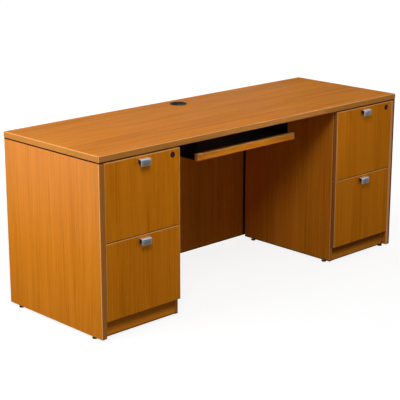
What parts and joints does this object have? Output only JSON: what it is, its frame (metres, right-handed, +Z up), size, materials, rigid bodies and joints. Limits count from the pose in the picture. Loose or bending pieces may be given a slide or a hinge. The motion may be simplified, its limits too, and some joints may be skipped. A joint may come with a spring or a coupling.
{
  "type": "computer desk",
  "caption": "Wood-laminate computer desk: slab top on full end panels, file-drawer pedestals with tab pulls and locks, full modesty panel, pull-out keyboard tray and cable grommet.",
  "frame": {"origin": "on the floor, under the middle of the outline, drawer pulls included", "axes": "+X along the desk to the sitter's right, +Y from the drawer fronts to the back, +Z up"},
  "size_m": [1.803, 0.627, 0.7515],
  "materials": {
    "laminate": "satin wood-grain laminate",
    "black_laminate": "matt black laminate",
    "drawer_box": "satin foil on board",
    "satin_metal": "satin",
    "steel": "zinc plated",
    "black_steel": "satin black",
    "black_plastic": "moulded"
  },
  "bodies": {
    "desk": {"desk_top": "laminate", "left_end_panel": "laminate", "right_end_panel": "laminate", "modesty_panel": "laminate", "corner_brackets": "steel", "fixing_screws": "steel", "levelling_glides": "black_plastic", "grommet_sleeve": "black_plastic", "tray_hangers": "black_steel", "tray_hanger_rails": "black_steel", "left_pedestal_outer_side": "laminate", "left_pedestal_inner_side": "laminate", "left_pedestal_back": "laminate", "left_plinth": "laminate", "left_pedestal_floor": "laminate", "left_pedestal_top_rails": "laminate", "left_cabinet_rails": "steel", "right_pedestal_outer_side": "laminate", "right_pedestal_inner_side": "laminate", "right_pedestal_back": "laminate", "right_plinth": "laminate", "right_pedestal_floor": "laminate", "right_pedestal_top_rails": "laminate", "right_cabinet_rails": "steel"},
    "grommet_cap": {"grommet_cap": "black_plastic"},
    "keyboard_tray": {"tray_board": "black_laminate", "tray_front_strip": "laminate", "tray_rails": "black_steel"},
    "left_upper_drawer": {"left_upper_drawer_front": "laminate", "left_upper_drawer_sides": "drawer_box", "left_upper_drawer_ends": "drawer_box", "left_upper_drawer_bottom": "drawer_box", "left_upper_drawer_pull": "satin_metal", "left_upper_drawer_rails": "steel", "left_upper_drawer_lock_barrel": "black_steel"},
    "left_upper_middle_rails": {"left_upper_middle_rails": "steel"},
    "left_lower_drawer": {"left_lower_drawer_front": "laminate", "left_lower_drawer_sides": "drawer_box", "left_lower_drawer_ends": "drawer_box", "left_lower_drawer_bottom": "drawer_box", "left_lower_drawer_pull": "satin_metal", "left_lower_drawer_rails": "steel"},
    "left_lower_middle_rails": {"left_lower_middle_rails": "steel"},
    "left_lock": {"left_lock_plug": "black_steel"},
    "right_upper_drawer": {"right_upper_drawer_front": "laminate", "right_upper_drawer_sides": "drawer_box", "right_upper_drawer_ends": "drawer_box", "right_upper_drawer_bottom": "drawer_box", "right_upper_drawer_pull": "satin_metal", "right_upper_drawer_rails": "steel", "right_upper_drawer_lock_barrel": "black_steel"},
    "right_upper_middle_rails": {"right_upper_middle_rails": "steel"},
    "right_lower_drawer": {"right_lower_drawer_front": "laminate", "right_lower_drawer_sides": "drawer_box", "right_lower_drawer_ends": "drawer_box", "right_lower_drawer_bottom": "drawer_box", "right_lower_drawer_pull": "satin_metal", "right_lower_drawer_rails": "steel"},
    "right_lower_middle_rails": {"right_lower_middle_rails": "steel"},
    "right_lock": {"right_lock_plug": "black_steel"}
  },
  "joints": [
    {"name": "grommet_cap_turn", "type": "hinge", "parent": "desk", "child": "grommet_cap", "pos_m": [0, 0.2335, 0.749], "axis": [0, 0, 1], "continuous": true},
    {"name": "keyboard_tray_slide", "type": "slide", "parent": "desk", "child": "keyboard_tray", "axis": [0, -1, 0], "range_m": [0, 0.25]},
    {"name": "left_upper_drawer_slide", "type": "slide", "parent": "desk", "child": "left_upper_drawer", "axis": [0, -1, 0], "range_m": [0, 0.47]},
    {"name": "left_upper_middle_rails_slide", "type": "slide", "parent": "desk", "child": "left_upper_middle_rails", "axis": [0, -1, 0], "range_m": [0, 0.235]},
    {"name": "left_lower_drawer_slide", "type": "slide", "parent": "desk", "child": "left_lower_drawer", "axis": [0, -1, 0], "range_m": [0, 0.47]},
    {"name": "left_lower_middle_rails_slide", "type": "slide", "parent": "desk", "child": "left_lower_middle_rails", "axis": [0, -1, 0], "range_m": [0, 0.235]},
    {"name": "left_lock_turn", "type": "hinge", "parent": "left_upper_drawer", "child": "left_lock", "pos_m": [-0.5235, -0.2955, 0.694], "axis": [0, 1, 0], "range_deg": [0, 90]},
    {"name": "right_upper_drawer_slide", "type": "slide", "parent": "desk", "child": "right_upper_drawer", "axis": [0, -1, 0], "range_m": [0, 0.47]},
    {"name": "right_upper_middle_rails_slide", "type": "slide", "parent": "desk", "child": "right_upper_middle_rails", "axis": [0, -1, 0], "range_m": [0, 0.235]},
    {"name": "right_lower_drawer_slide", "type": "slide", "parent": "desk", "child": "right_lower_drawer", "axis": [0, -1, 0], "range_m": [0, 0.47]},
    {"name": "right_lower_middle_rails_slide", "type": "slide", "parent": "desk", "child": "right_lower_middle_rails", "axis": [0, -1, 0], "range_m": [0, 0.235]},
    {"name": "right_lock_turn", "type": "hinge", "parent": "right_upper_drawer", "child": "right_lock", "pos_m": [0.8335, -0.2955, 0.694], "axis": [0, 1, 0], "range_deg": [0, 90]}
  ],
  "couplings": [
    {"joint": "left_upper_middle_rails_slide", "follows": "left_upper_drawer_slide", "ratio": 0.5},
    {"joint": "left_lower_middle_rails_slide", "follows": "left_lower_drawer_slide", "ratio": 0.5},
    {"joint": "right_upper_middle_rails_slide", "follows": "right_upper_drawer_slide", "ratio": 0.5},
    {"joint": "right_lower_middle_rails_slide", "follows": "right_lower_drawer_slide", "ratio": 0.5}
  ]
}
